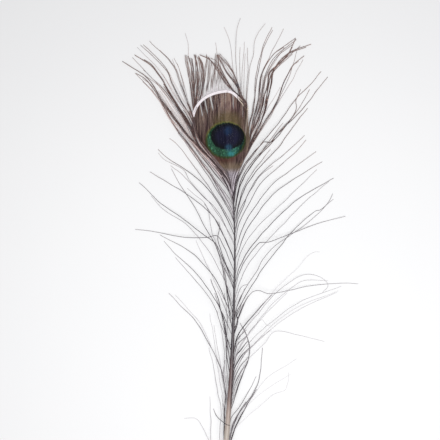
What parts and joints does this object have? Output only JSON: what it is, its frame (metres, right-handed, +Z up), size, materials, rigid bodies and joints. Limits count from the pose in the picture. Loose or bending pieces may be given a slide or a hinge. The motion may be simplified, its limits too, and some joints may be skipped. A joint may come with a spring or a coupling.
{
  "type": "peacock feather",
  "caption": "Cut peacock train feather lying face up: a pale tapering shaft, a bronze web with a blue-green eye near the tip, and long loose grey-brown barbs on both sides.",
  "frame": {"origin": "middle of the feather's outline, on the surface it lies on", "axes": "+Y along the shaft towards the eye and the tip, +X to the feather's right, +Z up, out of its face"},
  "size_m": [0.152, 0.33, 0.0083],
  "materials": {
    "shaft_keratin": "satin",
    "eye_web": "satin",
    "vane_barbs": "matte",
    "base_down": "matte"
  },
  "bodies": {
    "root": {"shaft": "shaft_keratin", "eye_barbs_left": "eye_web", "eye_barbs_right": "eye_web", "upper_barbs_left": "vane_barbs", "upper_barbs_right": "vane_barbs", "middle_barbs_left": "vane_barbs", "middle_barbs_right": "vane_barbs", "lower_barbs_left": "vane_barbs", "lower_barbs_right": "vane_barbs", "base_down_left": "base_down", "base_down_right": "base_down"}
  },
  "joints": []
}
